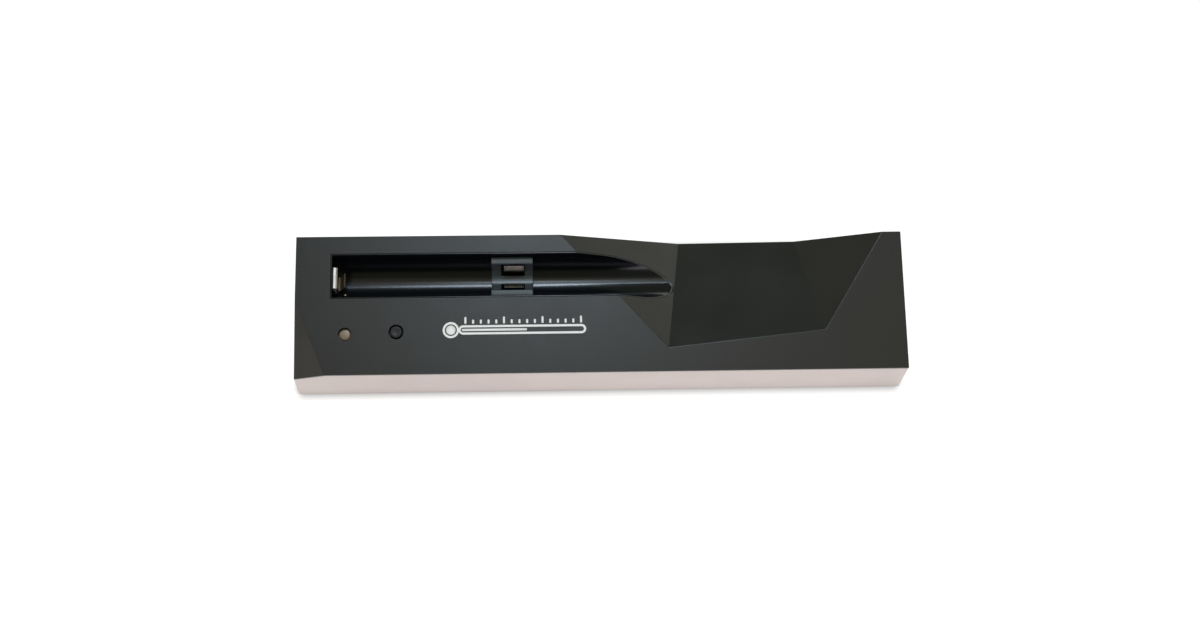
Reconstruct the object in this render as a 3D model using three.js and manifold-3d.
// Charging dock of a wireless meat thermometer: a long faceted block with a slot that holds and
// charges the probe. A champagne tub carries a soft-touch cover, and between them sit the glossy
// probe trough, its spring contacts, the circuit board, two AAA cells and the magnets.
// Units are millimetres. +X runs from the indicator end to the scooped end, +Y to the back, +Z up.
// The origin is on the surface that the dock stands on, under its centre.
import * as THREE from "three";
import { ConvexGeometry } from "three/addons/geometries/ConvexGeometry.js";
import { mergeVertices } from "three/addons/utils/BufferGeometryUtils.js";
import Module from "manifold-3d";

const wasm = await Module();
wasm.setup();

// ---- Driving dimensions -------------------------------------------------------------------
const TOP_LENGTH = 195; // of the flat top, before the walls flare
const TOP_WIDTH = 45;
const HEIGHT = 24.5; // feet included
const FLARE = Math.tan(THREE.MathUtils.degToRad(5)); // the walls lean out by 5 degrees going down
const FOOT_GAP = 0.8; // the tub stands this far off the surface
const FLOOR_TOP = 2.4;
const WALL = 2;
const COVER_THICK = 2;
const COVER_LIP = 0.8; // the cover's thickness where it lies over the tub's wall
const SEAM = 0.2; // between the cover's lip and the tub's rim
const LIP_GAP = 0.1; // between the cover and the parts that show in its openings
const FIT = 0.3; // clearance between loose neighbours
const OVERSHOOT = 0.3; // how far a cutting shape stands out of the face it cuts through

// Scoop at the back right: three facets meet in a valley. Depths are below the flat top.
const scoop = {
  backLeft: [-13, 22.5, 0],
  frontLeft: [21, -15, 0],
  frontRight: [71.4, -9.7, 0],
  backRight: [91.5, 22.5, 0],
  lowLeft: [26.8, 24.2, -19.3],
  lowRight: [65.4, 24.0, -17.2],
};
// Facet that takes off the front left corner of the top.
const cornerFacet = [
  [-97.5, 1.8, 0],
  [-87.7, -22.5, 0],
  [-97.86, -22.86, -4.1],
];

// Probe trough: upright walls over a half-round floor.
const TROUGH_Y = 9.46;
const TROUGH_R = 6.95;
const TROUGH_AXIS_Z = HEIGHT - 3.8;
const TROUGH_START = -86;
const TROUGH_END = 25;
const TROUGH_WALL = 1.2;
const TROUGH_LIP = 0.3; // the liner's wall where it comes up through the cover

const SADDLE_START = -35.4;
const SADDLE_END = -22;
const SADDLE_CAVITY = [SADDLE_START + 1.5, SADDLE_END - 1.5];
const SADDLE_HALF_CAVITY = 5;
const WINDOW = [-32.3, -24.7];
const CONTACT = [-31.3, -24.9];

const LED_XY = [-81.6, -9.4];
const BUTTON_XY = [-65.4, -8.9];
const BOARD = { x: [-86, -46], y: [-20, 0], bottom: 13.4, top: 15 };
const boardScrews = [[-83.5, -17.5], [-48.5, -17.5], [-83.5, -3]];
const housingScrews = [[-91.5, 13], [-91, -13], [14, -17], [50, -17], [89, -15], [89, 15]];
const troughScrews = [[-44, -1.2], [3, -1.2]];
const magnets = [[-70, 11], [-70, -11], [76, 9.5], [76, -10]];
const feet = [[-80, 17.5], [-80, -17.5], [80, 17.5], [80, -17.5]];

const CELL = { radius: 5.25, length: 44.5, z: 8.15, frontY: -14.6, rearY: -3.6 };
const BAY = { x: [-41, 9], y: [-20.3, 2.3], ceiling: 13.9, wall: 1.2 };
const DOOR = { x: [-40.2, 8], y: [-19.9, 1.9], z: [FOOT_GAP + 0.1, FLOOR_TOP + 0.1] };
const DOOR_AXIS_Z = (DOOR.z[0] + DOOR.z[1]) / 2;
const DOOR_END_R = (DOOR.z[1] - DOOR.z[0]) / 2;

// ---- Materials ----------------------------------------------------------------------------
const material = (color, roughness, metalness = 0) =>
  new THREE.MeshStandardMaterial({ color, roughness, metalness });
const softTouch = material(0x3c3d3c, 0.6);
const champagne = material(0xd5c6c0, 0.5);
const glossBlack = material(0x0b0e12, 0.2);
const smokePlastic = material(0x1c2024, 0.25);
const innerPlastic = material(0x202224, 0.55);
const nickel = material(0xd9d6cc, 0.25, 1);
const gold = material(0xc9a35c, 0.3, 1);
const steel = material(0x9a9c9e, 0.35, 1);
const amberLens = material(0xb8a27e, 0.35);
const boardGreen = material(0x14432b, 0.5);
const rubber = material(0x141414, 0.85);
const cellJacket = material(0x2a5a8c, 0.4);
const redWire = material(0xb02020, 0.5);
const blackWire = material(0x101010, 0.5);

// ---- Solids: three.js geometry in, manifold-3d cuts and joins, three.js meshes out ----------
function solid(geometry) {
  const bare = geometry.index ? geometry.toNonIndexed() : geometry.clone();
  const positions = new THREE.BufferGeometry();
  positions.setAttribute("position", bare.getAttribute("position"));
  const merged = mergeVertices(positions, 1e-4);
  return new wasm.Manifold(
    new wasm.Mesh({
      numProp: 3,
      vertProperties: merged.attributes.position.array,
      triVerts: new Uint32Array(merged.index.array),
    }),
  );
}

const join = (...solids) => solids.reduce((sum, next) => sum.add(next));
const cut = (from, ...tools) => tools.reduce((left, tool) => left.subtract(tool), from);

function mesh(name, body, look, place = [0, 0, 0]) {
  const data = body.getMesh();
  const geometry = new THREE.BufferGeometry();
  geometry.setAttribute("position", new THREE.BufferAttribute(data.vertProperties, 3));
  geometry.setIndex(new THREE.BufferAttribute(data.triVerts, 1));
  geometry.computeVertexNormals();
  const made = new THREE.Mesh(geometry, look);
  made.name = name;
  made.position.set(...place);
  return made;
}

function box([x0, x1], [y0, y1], [z0, z1]) {
  const geometry = new THREE.BoxGeometry(x1 - x0, y1 - y0, z1 - z0);
  return solid(geometry.translate((x0 + x1) / 2, (y0 + y1) / 2, (z0 + z1) / 2));
}

// Upright cylinder from z0 to z1 at (x, y).
function post([x, y], radius, [z0, z1], sides = 24) {
  const geometry = new THREE.CylinderGeometry(radius, radius, z1 - z0, sides);
  return solid(geometry.rotateX(Math.PI / 2).translate(x, y, (z0 + z1) / 2));
}

// Upright solid of revolution about Z from a profile of [radius, z] points.
function turned(profile, sides = 32) {
  const points = profile.map(([radius, z]) => new THREE.Vector2(radius, z));
  return solid(new THREE.LatheGeometry(points, sides).rotateX(Math.PI / 2));
}

function polygon(points) {
  return new THREE.Shape(points.map(([u, v]) => new THREE.Vector2(u, v)));
}

// Extrudes a shape drawn in (Y, Z) along X.
function alongX(shape, [x0, x1], curveSegments = 24) {
  const options = { depth: x1 - x0, bevelEnabled: false, curveSegments };
  const geometry = new THREE.ExtrudeGeometry(shape, options);
  const axes = new THREE.Matrix4().makeBasis(
    new THREE.Vector3(0, 1, 0),
    new THREE.Vector3(0, 0, 1),
    new THREE.Vector3(1, 0, 0),
  );
  return solid(geometry.applyMatrix4(axes).translate(x0, 0, 0));
}

// Extrudes a shape drawn in (X, Z) along Y.
function alongY(shape, [y0, y1], curveSegments = 24) {
  const options = { depth: y1 - y0, bevelEnabled: false, curveSegments };
  const geometry = new THREE.ExtrudeGeometry(shape, options);
  return solid(geometry.rotateX(Math.PI / 2).translate(0, y1, 0));
}

// A sheet-metal strip seen edge on: the line through the points, given a thickness.
function strip(points, thickness) {
  const line = points.map(([u, v]) => new THREE.Vector2(u, v));
  const side = (sign) =>
    line.map((p, i) => {
      const before = line[Math.max(i - 1, 0)];
      const after = line[Math.min(i + 1, line.length - 1)];
      const along = after.clone().sub(before).normalize();
      return [p.x - along.y * sign * thickness / 2, p.y + along.x * sign * thickness / 2];
    });
  return polygon([...side(-1), ...side(1).reverse()]);
}

// ---- The dock's outer form ------------------------------------------------------------------
// Flared block: its walls are inset from the outside by sideInset.
function flaredBlock(sideInset, z0, z1) {
  const corners = [z0, z1].flatMap((z) => {
    const halfX = TOP_LENGTH / 2 + (HEIGHT - z) * FLARE - sideInset;
    const halfY = TOP_WIDTH / 2 + (HEIGHT - z) * FLARE - sideInset;
    const signs = [[1, 1], [1, -1], [-1, 1], [-1, -1]];
    return signs.map(([sx, sy]) => new THREE.Vector3(sx * halfX, sy * halfY, z));
  });
  return solid(new ConvexGeometry(corners));
}

// Everything above the plane through three points, after the plane is lowered by depth.
function above(points, depth) {
  const SIZE = 600;
  const [a, b, c] = points.map(([x, y, z]) => new THREE.Vector3(x, y, HEIGHT + z));
  const plane = new THREE.Plane().setFromCoplanarPoints(a, b, c);
  const up = plane.normal.z < 0 ? plane.normal.clone().negate() : plane.normal.clone();
  const turn = new THREE.Quaternion().setFromUnitVectors(new THREE.Vector3(0, 0, 1), up);
  const base = a.clone().addScaledVector(up, -depth);
  const slab = new THREE.BoxGeometry(SIZE, SIZE, SIZE).translate(0, 0, SIZE / 2);
  return solid(slab.applyQuaternion(turn).translate(base.x, base.y, base.z));
}

// The trough runs out through this facet of the scoop.
const aboveLeftFacet = (depth) => above([scoop.backLeft, scoop.frontLeft, scoop.lowLeft], depth);

function scoopCut(depth) {
  const left = aboveLeftFacet(depth);
  const floor = above([scoop.frontLeft, scoop.frontRight, scoop.lowLeft], depth);
  const right = above([scoop.frontRight, scoop.backRight, scoop.lowRight], depth);
  return left.intersect(floor).intersect(right);
}

// The dock's form below its top skin: the top is lowered by depth, the walls moved in by sideInset.
function form(depth, sideInset, z0) {
  return cut(flaredBlock(sideInset, z0, HEIGHT - depth), scoopCut(depth), above(cornerFacet, depth));
}

// Section of the probe trough at a given radius, open to the top.
function troughSection(radius) {
  const shape = new THREE.Shape();
  const top = HEIGHT + 5;
  shape.moveTo(TROUGH_Y - radius, top);
  shape.lineTo(TROUGH_Y - radius, TROUGH_AXIS_Z);
  shape.absarc(TROUGH_Y, TROUGH_AXIS_Z, radius, Math.PI, 2 * Math.PI, false);
  shape.lineTo(TROUGH_Y + radius, top);
  return shape;
}

// ---- Cover and tub --------------------------------------------------------------------------
const BOSS_R = 3;
const BOSS_BOTTOM = 7.9;
const POST_TOP = 7.6;
const COUNTERBORE = { radius: 2.6, top: 4.6 };
const LED_HOLE_R = 2.1;
const BUTTON_HOLE_R = 2.35;

function cover() {
  const lip = cut(form(0, 0, FOOT_GAP), form(COVER_LIP, -5, 0));
  const plate = cut(form(0, WALL + FIT, FLOOR_TOP), form(COVER_THICK, -5, 0));
  const under = form(COVER_THICK - 0.4, WALL + FIT, FLOOR_TOP);
  const bosses = housingScrews.map((at) => post(at, BOSS_R, [BOSS_BOTTOM, HEIGHT]).intersect(under));
  const earBosses = troughScrews.map((at) => post(at, 2.2, [18.35, HEIGHT]).intersect(under));
  const lipSpace = TROUGH_LIP + LIP_GAP;
  const slot = alongX(troughSection(TROUGH_R + lipSpace), [TROUGH_START - lipSpace, TROUGH_END], 32);
  return cut(
    join(lip, plate, ...bosses, ...earBosses),
    cut(slot, aboveLeftFacet(-OVERSHOOT)),
    post(LED_XY, LED_HOLE_R, [HEIGHT - 4, HEIGHT + 1], 40),
    post(BUTTON_XY, BUTTON_HOLE_R, [HEIGHT - 4, HEIGHT + 1], 40),
    ...housingScrews.map((at) => post(at, 1.3, [BOSS_BOTTOM - 1, 16], 16)),
    ...troughScrews.map((at) => post(at, 0.95, [17, 22.8], 16)),
  );
}

const SOCKET_R = 0.48;
const PIN_R = 0.4;
const PIN_LENGTH = 1;

function hingePin([y0, y1], radius) {
  const geometry = new THREE.CylinderGeometry(radius, radius, y1 - y0, 16);
  return solid(geometry.translate(DOOR.x[1], (y0 + y1) / 2, DOOR_AXIS_Z));
}

function tub() {
  const shell = cut(form(COVER_LIP + SEAM, 0, FOOT_GAP), flaredBlock(WALL, FLOOR_TOP, HEIGHT + 5));
  const [bx0, bx1] = BAY.x;
  const [by0, by1] = BAY.y;
  const bayOuter = box(
    [bx0 - BAY.wall, bx1 + BAY.wall],
    [by0 - BAY.wall, by1 + BAY.wall],
    [FLOOR_TOP - 0.5, BAY.ceiling + BAY.wall],
  );
  const inside = flaredBlock(0.5, 0, HEIGHT);
  const bayInner = box(BAY.x, BAY.y, [FLOOR_TOP, BAY.ceiling]);
  const doorOpening = box(
    [DOOR.x[0] - FIT, DOOR.x[1] + DOOR_END_R + FIT],
    [DOOR.y[0] - FIT, DOOR.y[1] + FIT],
    [-1, FLOOR_TOP + 1],
  );
  const sockets = [
    hingePin([DOOR.y[0] - PIN_LENGTH - FIT, DOOR.y[0]], SOCKET_R),
    hingePin([DOOR.y[1], DOOR.y[1] + PIN_LENGTH + FIT], SOCKET_R),
  ];
  const posts = housingScrews.map((at) => post(at, BOSS_R + 0.2, [FLOOR_TOP - 0.5, POST_TOP]));
  const standoffs = boardScrews.map((at) => post(at, 2.2, [FLOOR_TOP - 0.5, BOARD.bottom - 0.15]));
  const magnetRings = magnets.map((at) =>
    cut(post(at, 7.4, [FLOOR_TOP - 0.5, FLOOR_TOP + 2], 32), post(at, 6.3, [FLOOR_TOP, FLOOR_TOP + 3], 32)),
  );
  return cut(
    join(shell, bayOuter.intersect(inside), ...posts, ...standoffs, ...magnetRings),
    bayInner,
    doorOpening,
    ...sockets,
    ...housingScrews.map((at) => post(at, COUNTERBORE.radius, [-1, COUNTERBORE.top], 24)),
    ...housingScrews.map((at) => post(at, 1.4, [COUNTERBORE.top - 1, POST_TOP + 1], 16)),
    ...boardScrews.map((at) => post(at, 0.95, [6, BOARD.bottom + 1], 16)),
    ...feet.map((at) => post(at, 4.7, [-1, FOOT_GAP + 0.4], 32)),
    box([24, 72], [-9, 9], [-1, FOOT_GAP + 0.3]), // shallow recess for the rating label
    // Slots that let the battery tabs out to their wires.
    box([bx0 - 2, bx0 + 0.1], [CELL.frontY - 1.8, CELL.frontY + 1.8], [11.2, 12.4]),
    box([bx0 - 2, bx0 + 0.1], [CELL.rearY - 1.8, CELL.rearY + 1.8], [11.2, 12.4]),
  );
}

// ---- Probe trough, saddle and charging contacts ----------------------------------------------
const EAR_Z = [17, 18.2];

function troughLiner() {
  const tray = (wall, end) =>
    alongX(troughSection(TROUGH_R + wall), [TROUGH_START - wall, end], 32);
  const outer = tray(TROUGH_WALL, TROUGH_END + 5);
  const inner = tray(0, TROUGH_END + 6);
  const lip = tray(TROUGH_LIP, TROUGH_END);
  const ears = troughScrews.map(([x, y]) => box([x - 3, x + 3], [y - 2.4, y + 4.1], EAR_Z));
  const under = form(COVER_THICK + SEAM, WALL + FIT, FLOOR_TOP);
  return cut(
    join(
      cut(outer, aboveLeftFacet(COVER_THICK + SEAM)).add(join(...ears)).intersect(under),
      cut(lip, aboveLeftFacet(LIP_GAP)).intersect(form(LIP_GAP, WALL, FLOOR_TOP)),
    ),
    inner,
    box(
      SADDLE_CAVITY,
      [TROUGH_Y - SADDLE_HALF_CAVITY, TROUGH_Y + SADDLE_HALF_CAVITY],
      [TROUGH_AXIS_Z - TROUGH_R - 4, TROUGH_AXIS_Z - 3],
    ),
    ...troughScrews.map((at) => post(at, 1.1, [EAR_Z[0] - 1, EAR_Z[1] + 1], 16)),
    rivetHole(),
  );
}

// The saddle carries the probe in a round valley. Sections below are in (Y from the trough's
// centre, Z from the flat top).
const VALLEY_R = 4.2;
const VALLEY_AXIS = -3.6;
const SHOULDER = -3.1;
const SADDLE_WALL = 1.1;

const mirrored = (points) => points.map(([u, v]) => [-u, v]).reverse();
const placed = (points) => points.map(([u, v]) => [u + TROUGH_Y, v + HEIGHT]);

// Point on a ring round the valley's axis, at an angle in degrees from straight down.
function onValley(radius, degrees) {
  const angle = THREE.MathUtils.degToRad(degrees);
  return [radius * Math.sin(angle), VALLEY_AXIS - radius * Math.cos(angle)];
}

function saddleSection() {
  const radius = TROUGH_R - SEAM;
  const valleyZ = HEIGHT + VALLEY_AXIS;
  const at = (u, v) => [TROUGH_Y + u, HEIGHT + v];
  const shape = new THREE.Shape();
  shape.moveTo(...at(-radius, -3.8));
  shape.quadraticCurveTo(...at(-radius, SHOULDER), ...at(-5.6, SHOULDER));
  shape.lineTo(...at(-VALLEY_R - 0.3, SHOULDER));
  shape.lineTo(...at(-VALLEY_R, SHOULDER - 0.3));
  shape.lineTo(...at(-VALLEY_R, VALLEY_AXIS));
  shape.absarc(TROUGH_Y, valleyZ, VALLEY_R, Math.PI, 2 * Math.PI, false);
  shape.lineTo(...at(VALLEY_R, SHOULDER - 0.3));
  shape.lineTo(...at(VALLEY_R + 0.3, SHOULDER));
  shape.lineTo(...at(5.6, SHOULDER));
  shape.quadraticCurveTo(...at(radius, SHOULDER), ...at(radius, -3.8));
  shape.absarc(TROUGH_Y, TROUGH_AXIS_Z, radius, 0, -Math.PI, true);
  return shape;
}

// The hollow under the saddle's valley, where the contacts come up.
function saddleHollow() {
  const radius = VALLEY_R + SADDLE_WALL;
  const rise = Math.asin(SADDLE_HALF_CAVITY / radius);
  const edge = (side, v) => [TROUGH_Y + side * SADDLE_HALF_CAVITY, HEIGHT + v];
  const shape = new THREE.Shape();
  shape.moveTo(...edge(-1, -13));
  shape.lineTo(...edge(-1, VALLEY_AXIS - radius * Math.cos(rise)));
  shape.absarc(TROUGH_Y, HEIGHT + VALLEY_AXIS, radius, -Math.PI / 2 - rise, rise - Math.PI / 2, false);
  shape.lineTo(...edge(1, -13));
  return alongX(shape, SADDLE_CAVITY, 20);
}

function saddle() {
  const block = alongX(saddleSection(), [SADDLE_START, SADDLE_END], 20);
  const WINDOW_TOP = SHOULDER - 0.8;
  const rearWindow = [
    onValley(3.4, 18), onValley(5.9, 17), onValley(6.8, 48), [5.7, VALLEY_AXIS - 2.5],
    [5.7, WINDOW_TOP], [3.4, WINDOW_TOP],
  ];
  return cut(
    block,
    saddleHollow(),
    alongX(polygon(placed(rearWindow)), WINDOW),
    alongX(polygon(placed(mirrored(rearWindow))), WINDOW),
  );
}

// Spring finger: its root sits in the holder, and its crest stands out of the saddle's window.
const FINGER_FOOT = [3.3, -14.3];
const fingerBend = [
  [3.3, -9], [3.22, -7.8], [2.85, -6.6], [2.42, -5.6],
  [2.28, -5.05], [2.5, -4.5], [3, -3.85], [3.55, -3.2],
];
const SHEET = 0.3;

function contactFinger(side) {
  const bend = new THREE.SplineCurve(fingerBend.map(([u, v]) => new THREE.Vector2(u, v)));
  const finger = [FINGER_FOOT, ...bend.getPoints(28).map((p) => [p.x, p.y])];
  return alongX(strip(placed(side > 0 ? finger : mirrored(finger)), SHEET), CONTACT);
}

function contactHolder() {
  const [x0, x1] = [SADDLE_START + 0.6, SADDLE_END - 0.6];
  const body = box([x0, x1], [TROUGH_Y - 5.2, TROUGH_Y + 5.2], [HEIGHT - 15.8, HEIGHT - 9]);
  const cradle = alongX(troughSection(TROUGH_R + TROUGH_WALL + 0.15), [x0 - 1, x1 + 1], 32);
  const slot = (side) => {
    const y = TROUGH_Y + side * FINGER_FOOT[0];
    return box([CONTACT[0] - FIT, CONTACT[1] + FIT], [y - 0.6, y + 0.6], [HEIGHT - 14.7, HEIGHT - 8]);
  };
  return cut(body, cradle, slot(1), slot(-1));
}

// End contact in (X from the trough's end wall, Z from the flat top).
const END_BRACKET = [[1.62, -1.14], [1.1, -0.8], [0.5, -0.8], [0.22, -1.1], [0.2, -2], [0.2, -9.2]];
const END_LEAF = [[0.85, -9.2], [1.15, -9.5], [1.55, -9.2], [3.65, -4.7], [3.8, -4.1], [3.6, -3.6]];
const END_BRACKET_HALF = 3.4;
const END_LEAF_HALF = 2.3;
const END_CONTACT_Y = TROUGH_Y - 0.4; // both sit a little to the front of the trough's centre

const fromEndWall = (points) => points.map(([x, z]) => [TROUGH_START + x, HEIGHT + z]);

function endBracket() {
  const width = [END_CONTACT_Y - END_BRACKET_HALF, END_CONTACT_Y + END_BRACKET_HALF];
  return alongY(strip(fromEndWall(END_BRACKET), SHEET), width);
}

function endLeaf() {
  const width = [END_CONTACT_Y - END_LEAF_HALF, END_CONTACT_Y + END_LEAF_HALF];
  return alongY(strip(fromEndWall(END_LEAF), SHEET), width);
}

// Rivet in the trough's floor, square to the round wall.
const RIVET_X = TROUGH_START + 3.1;
const RIVET_ANGLE = THREE.MathUtils.degToRad(-35); // from straight down, towards the front

function rivetFrame(geometry) {
  const radial = new THREE.Matrix4().makeRotationX(RIVET_ANGLE);
  return geometry.applyMatrix4(radial).translate(RIVET_X, TROUGH_Y, TROUGH_AXIS_Z);
}

function rivetHole() {
  const tool = new THREE.CylinderGeometry(0.5, 0.5, 4, 16).rotateX(Math.PI / 2);
  return solid(rivetFrame(tool.translate(0, 0, -TROUGH_R - 0.6)));
}

function rivet() {
  const depth = -TROUGH_R;
  const profile = [
    [0, depth + 0.5], [0.3, depth + 0.45], [0.55, depth + 0.3], [0.65, depth + 0.12],
    [0.35, depth + 0.12], [0.35, depth - 1.9], [0, depth - 1.9],
  ];
  const points = profile.map(([r, z]) => new THREE.Vector2(r, z)).reverse();
  return solid(rivetFrame(new THREE.LatheGeometry(points, 16).rotateX(Math.PI / 2)));
}

// ---- Indicator, button and electronics --------------------------------------------------------
const LED_TOP = BOARD.top + 1.3;

function lightPipe() {
  const head = HEIGHT - 1;
  const flange = HEIGHT - COVER_THICK - 0.15;
  return turned([
    [0, LED_TOP + 0.2], [1.4, LED_TOP + 0.2], [1.4, flange - 1], [2.8, flange - 1], [2.8, flange],
    [1.75, flange], [1.75, head - 0.2], [1.55, head - 0.04], [0.8, head + 0.06], [0, head + 0.08],
  ]);
}

const PLUNGER_TOP = 19.3;
const BUTTON_TRAVEL = 0.5;

function buttonCap() {
  const crown = HEIGHT + 0.3;
  const flange = HEIGHT - COVER_THICK - 0.15;
  return turned([
    [0, PLUNGER_TOP + 0.05], [1.1, PLUNGER_TOP + 0.05], [1.1, flange - 0.8], [3.1, flange - 0.8],
    [3.1, flange], [1.85, flange], [1.85, crown - 0.3], [1.76, crown - 0.09], [1.55, crown],
    [1.2, crown - 0.02], [0.7, crown - 0.1], [0, crown - 0.13],
  ], 40);
}

function switchBody() {
  const [x, y] = BUTTON_XY;
  const base = box([x - 3, x + 3], [y - 3, y + 3], [BOARD.top + 0.1, BOARD.top + 3.2]);
  const plate = box([x - 2.6, x + 2.6], [y - 2.6, y + 2.6], [BOARD.top + 3, BOARD.top + 3.5]);
  return cut(join(base, plate), post(BUTTON_XY, 1.9, [BOARD.top + 2, BOARD.top + 5]));
}

function switchPlunger() {
  const bottom = BOARD.top + 2 + BUTTON_TRAVEL + 0.2;
  return post(BUTTON_XY, 1.7, [bottom, PLUNGER_TOP]);
}

function circuitBoard() {
  const [x0, x1] = BOARD.x;
  const [y0, y1] = BOARD.y;
  const R = 1.5;
  const outline = new THREE.Shape();
  outline.moveTo(x0 + R, y0);
  outline.lineTo(x1 - R, y0);
  outline.absarc(x1 - R, y0 + R, R, -Math.PI / 2, 0, false);
  outline.lineTo(x1, y1 - R);
  outline.absarc(x1 - R, y1 - R, R, 0, Math.PI / 2, false);
  outline.lineTo(x0 + R, y1);
  outline.absarc(x0 + R, y1 - R, R, Math.PI / 2, Math.PI, false);
  outline.lineTo(x0, y0 + R);
  outline.absarc(x0 + R, y0 + R, R, Math.PI, 1.5 * Math.PI, false);
  const options = { depth: BOARD.top - BOARD.bottom, bevelEnabled: false, curveSegments: 4 };
  const slab = solid(new THREE.ExtrudeGeometry(outline, options).translate(0, 0, BOARD.bottom));
  return cut(slab, ...boardScrews.map((at) => post(at, 1.2, [BOARD.bottom - 1, BOARD.top + 1], 16)));
}

function onBoard([x0, x1], [y0, y1], height) {
  return box([x0, x1], [y0, y1], [BOARD.top + 0.1, BOARD.top + 0.1 + height]);
}

function ledPackage() {
  const [x, y] = LED_XY;
  const base = onBoard([x - 1.6, x + 1.6], [y - 1.4, y + 1.4], 0.8);
  return join(base, post(LED_XY, 1.1, [BOARD.top + 0.5, LED_TOP], 20));
}

// ---- Cells and their contacts -------------------------------------------------------------------
// A AAA cell along X, positive nipple towards +X, centred on its own middle.
function cell() {
  const half = CELL.length / 2;
  const profile = [
    [0, -half], [CELL.radius - 0.7, -half], [CELL.radius, -half + 0.6], [CELL.radius, half - 1.5],
    [CELL.radius - 0.5, half - 1], [1.9, half - 1], [1.9, half - 0.15], [1.7, half], [0, half],
  ];
  const points = profile.map(([r, x]) => new THREE.Vector2(r, x));
  return solid(new THREE.LatheGeometry(points, 32).rotateZ(-Math.PI / 2));
}

const FRONT_CELL_X = BAY.x[0] + 4 + CELL.length / 2; // its flat end meets the left-hand spring
const REAR_CELL_X = BAY.x[1] - 4 - CELL.length / 2; // its flat end meets the right-hand spring
const PLATE = 0.4;

// A battery plate on a bay end wall: facing +1 for the left wall, -1 for the right.
function plate(facing, [y0, y1], bumpYs, wallX) {
  const near = wallX + facing * 0.15;
  const far = near + facing * PLATE;
  const sheet = box([Math.min(near, far), Math.max(near, far)], [y0, y1], [3.2, 12.4]);
  const bumps = bumpYs.map((y) => {
    const geometry = new THREE.CylinderGeometry(1.2, 2, 0.9, 20).rotateZ(-facing * Math.PI / 2);
    return solid(geometry.translate(far + facing * 0.35, y, CELL.z));
  });
  return join(sheet, ...bumps);
}

// Left plates also carry a solder tab that reaches out through the bay's wall.
function tab(y) {
  return box([BAY.x[0] - 2.4, BAY.x[0] + 0.4], [y - 1.2, y + 1.2], [11.6, 12]);
}

// Conical coil spring along +X from the origin, squeezed to its working length.
function coilSpring() {
  const WIRE = 0.3;
  const LENGTH = 3.0;
  const TURNS = 2.5;
  class Coil extends THREE.Curve {
    getPoint(t, target = new THREE.Vector3()) {
      const angle = t * TURNS * 2 * Math.PI;
      const radius = 3.6 - 1.7 * t;
      const along = WIRE + t * (LENGTH - 2 * WIRE);
      return target.set(along, radius * Math.cos(angle), radius * Math.sin(angle));
    }
  }
  const section = new THREE.Shape();
  section.absarc(0, 0, WIRE, 0, 2 * Math.PI, false);
  const options = { steps: 60, curveSegments: 3, extrudePath: new Coil() };
  return solid(new THREE.ExtrudeGeometry(section, options));
}

// ---- Battery door ---------------------------------------------------------------------------------
function batteryDoor() {
  const [x0, x1] = DOOR.x;
  const [y0, y1] = DOOR.y;
  const [z0, z1] = DOOR.z;
  const panel = box([x0, x1], DOOR.y, DOOR.z);
  const roundEnd = hingePin(DOOR.y, DOOR_END_R);
  const pins = [
    hingePin([y0 - PIN_LENGTH, y0 + 1], PIN_R),
    hingePin([y1 - 1, y1 + PIN_LENGTH], PIN_R),
  ];
  const stiffener = box([x0 + 9, x0 + 10.2], [y0 + 1.2, y1 - 1.2], [z1 - 0.4, z1 + 0.3]);
  const ribs = [0, 1, 2, 3].map((i) => {
    const x = x0 + 3 + i * 1.4;
    return box([x, x + 0.6], [-13, -5], [z0 - 0.25, z0 + 0.3]);
  });
  const latchSlots = [-14.6, -4].map((y) => box([x0 - 1, x0 + 8], [y, y + 0.6], [z0 - 1, z1 + 1]));
  return cut(join(panel, roundEnd, ...pins, stiffener, ...ribs), ...latchSlots);
}

// ---- Fasteners, magnets and feet ------------------------------------------------------------------
// Cross-head screw pointing up, its head's bearing face at z = 0.
function screw(headRadius, headHeight, shankRadius, length) {
  const body = turned([
    [0, -headHeight], [headRadius * 0.75, -headHeight], [headRadius, -headHeight * 0.6],
    [headRadius, 0], [shankRadius, 0], [shankRadius, length - 0.8],
    [shankRadius * 0.5, length], [0, length],
  ], 20);
  const arm = headRadius * 0.6;
  const slit = headRadius * 0.14;
  const depth = [-headHeight - 1, -headHeight * 0.45];
  return cut(body, box([-arm, arm], [-slit, slit], depth), box([-slit, slit], [-arm, arm], depth));
}

function foot() {
  return turned([[0, 0], [3.9, 0], [4.3, 0.35], [4.5, 0.7], [4.5, 1.1], [0, 1.1]], 32);
}

function magnet() {
  return turned([[0, 0], [5.7, 0], [6, 0.3], [6, 2.2], [5.7, 2.5], [0, 2.5]], 32);
}

// ---- Wires inside the housing ----------------------------------------------------------------------
function wire(points) {
  const route = new THREE.CatmullRomCurve3(points.map((p) => new THREE.Vector3(...p)));
  const section = new THREE.Shape();
  section.absarc(0, 0, 0.5, 0, 2 * Math.PI, false);
  const options = { steps: 24, curveSegments: 4, extrudePath: route };
  return solid(new THREE.ExtrudeGeometry(section, options));
}

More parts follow.
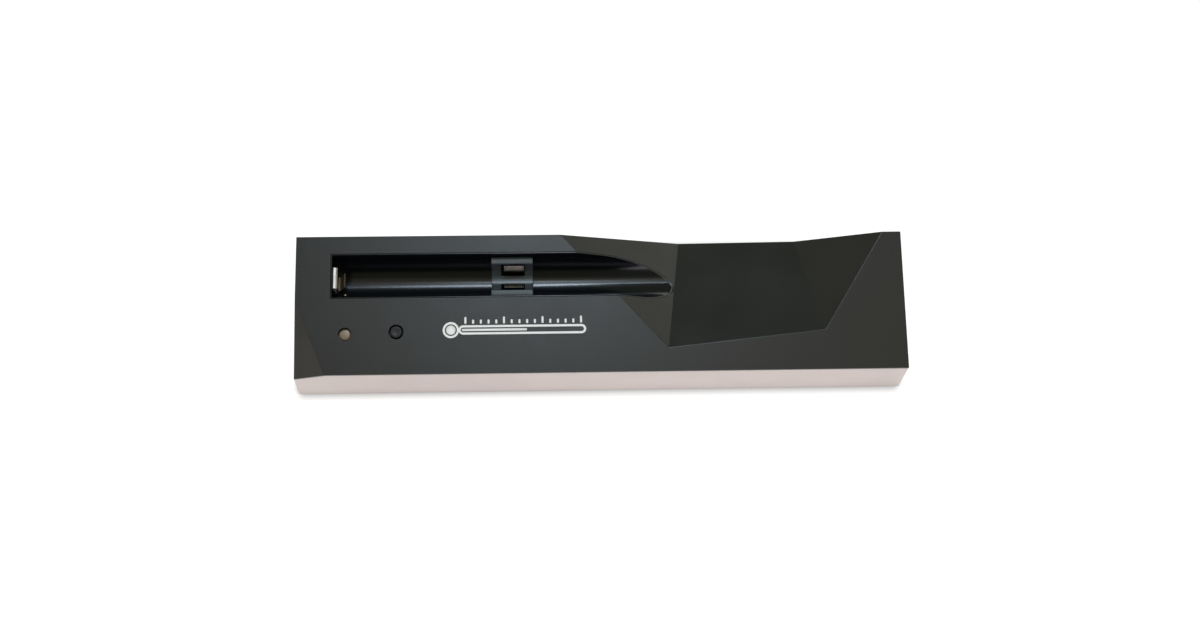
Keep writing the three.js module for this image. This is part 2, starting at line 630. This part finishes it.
const tabX = BAY.x[0] - 2;
const routes = {
  battery_wire_black: [
    [tabX, CELL.frontY, 12.7], [tabX - 0.3, -13.4, 15.4], [-46.5, -11.6, 18], [-49.6, -10.2, 17.9],
  ],
  battery_wire_red: [
    [tabX, CELL.rearY, 12.7], [tabX - 1, -5, 15.2], [-47, -6.8, 17.8], [-49.6, -7.6, 17.9],
  ],
  rear_contact_wire: [
    [-35.4, 12.4, 9.4], [-42, 9.5, 8.6], [-52, 4, 10],
    [-55, 1.4, 14], [-56, -0.9, 16.4], [-56, -2.6, 15.7],
  ],
  front_contact_wire: [
    [-35.4, 6.6, 9.4], [-41, 4.6, 10], [-48, 2.4, 11.4],
    [-51, 1.2, 14.2], [-52, -0.9, 16.4], [-52, -2.6, 15.7],
  ],
  end_contact_wire: [
    [-87.9, 9.4, 15.6], [-88.9, 6, 15.2], [-88, 1.6, 16.6], [-84.4, -0.6, 17.2], [-79, -2, 15.7],
  ],
};

// ---- Assembly ---------------------------------------------------------------------------------------
const dock = new THREE.Group();
const add = (name, body, look, place) => dock.add(mesh(name, body, look, place));

add("top_cover", cover(), softTouch);
add("housing_tub", tub(), champagne);
add("probe_trough", troughLiner(), glossBlack);
add("contact_saddle", saddle(), smokePlastic);
add("contact_holder", contactHolder(), innerPlastic);
add("rear_contact", contactFinger(1), gold);
add("front_contact", contactFinger(-1), gold);
add("end_contact_bracket", endBracket(), nickel);
add("end_contact_leaf", endLeaf(), gold);
add("end_contact_rivet", rivet(), nickel);

add("light_pipe", lightPipe(), amberLens, [...LED_XY, 0]);
add("button_cap", buttonCap(), innerPlastic, [...BUTTON_XY, 0]);
add("switch_body", switchBody(), steel);
add("switch_plunger", switchPlunger(), innerPlastic);
add("circuit_board", circuitBoard(), boardGreen);
add("indicator_led", ledPackage(), amberLens);
add("radio_module", onBoard([-61, -53.5], [-19, -12], 1.8), steel);
add("charge_chip", onBoard([-78, -73], [-17, -12], 1), innerPlastic);
add("battery_connector", onBoard([-52, -49], [-12, -6], 2.2), champagne);

const frontCell = mesh("battery_front", cell(), cellJacket, [FRONT_CELL_X, CELL.frontY, CELL.z]);
const rearCell = mesh("battery_rear", cell(), cellJacket, [REAR_CELL_X, CELL.rearY, CELL.z]);
rearCell.rotation.z = Math.PI;
dock.add(frontCell, rearCell);

const PLATE_FACE = 0.15 + PLATE; // from the bay's wall to the plate's face
const frontSpring = mesh("battery_spring_front", coilSpring(), nickel);
frontSpring.position.set(BAY.x[0] + PLATE_FACE + 0.1, CELL.frontY, CELL.z);
const rearSpring = mesh("battery_spring_rear", coilSpring(), nickel);
rearSpring.position.set(BAY.x[1] - PLATE_FACE - 0.1, CELL.rearY, CELL.z);
rearSpring.rotation.z = Math.PI;
dock.add(frontSpring, rearSpring);

const cellSpan = (y) => [y - 4.6, y + 4.6];
const leftWall = BAY.x[0];
const negativePlate = plate(1, cellSpan(CELL.frontY), [], leftWall);
const positivePlate = plate(1, cellSpan(CELL.rearY), [CELL.rearY], leftWall);
const linkSpan = [CELL.frontY - 4.6, CELL.rearY + 4.6];
add("battery_plate_negative", join(negativePlate, tab(CELL.frontY)), nickel);
add("battery_plate_positive", join(positivePlate, tab(CELL.rearY)), nickel);
add("battery_link_plate", plate(-1, linkSpan, [CELL.frontY], BAY.x[1]), nickel);
add("battery_door", batteryDoor(), innerPlastic);

magnets.forEach((at, i) => add(`magnet_${i + 1}`, magnet(), steel, [...at, FLOOR_TOP + 0.1]));
feet.forEach((at, i) => add(`foot_${i + 1}`, foot(), rubber, [...at, 0]));
housingScrews.forEach((at, i) =>
  add(`housing_screw_${i + 1}`, screw(2.3, 1.8, 1.1, 11), steel, [...at, COUNTERBORE.top - 0.1]),
);
troughScrews.forEach((at, i) =>
  add(`trough_screw_${i + 1}`, screw(1.8, 1.3, 0.8, 5.4), steel, [...at, EAR_Z[0] - 0.1]),
);
boardScrews.forEach((at, i) => {
  const made = mesh(`board_screw_${i + 1}`, screw(1.8, 1.3, 0.8, 6), steel, [...at, BOARD.top + 0.1]);
  made.rotation.x = Math.PI;
  dock.add(made);
});
Object.entries(routes).forEach(([name, points]) =>
  add(name, wire(points), name.endsWith("red") ? redWire : blackWire),
);

export default dock;
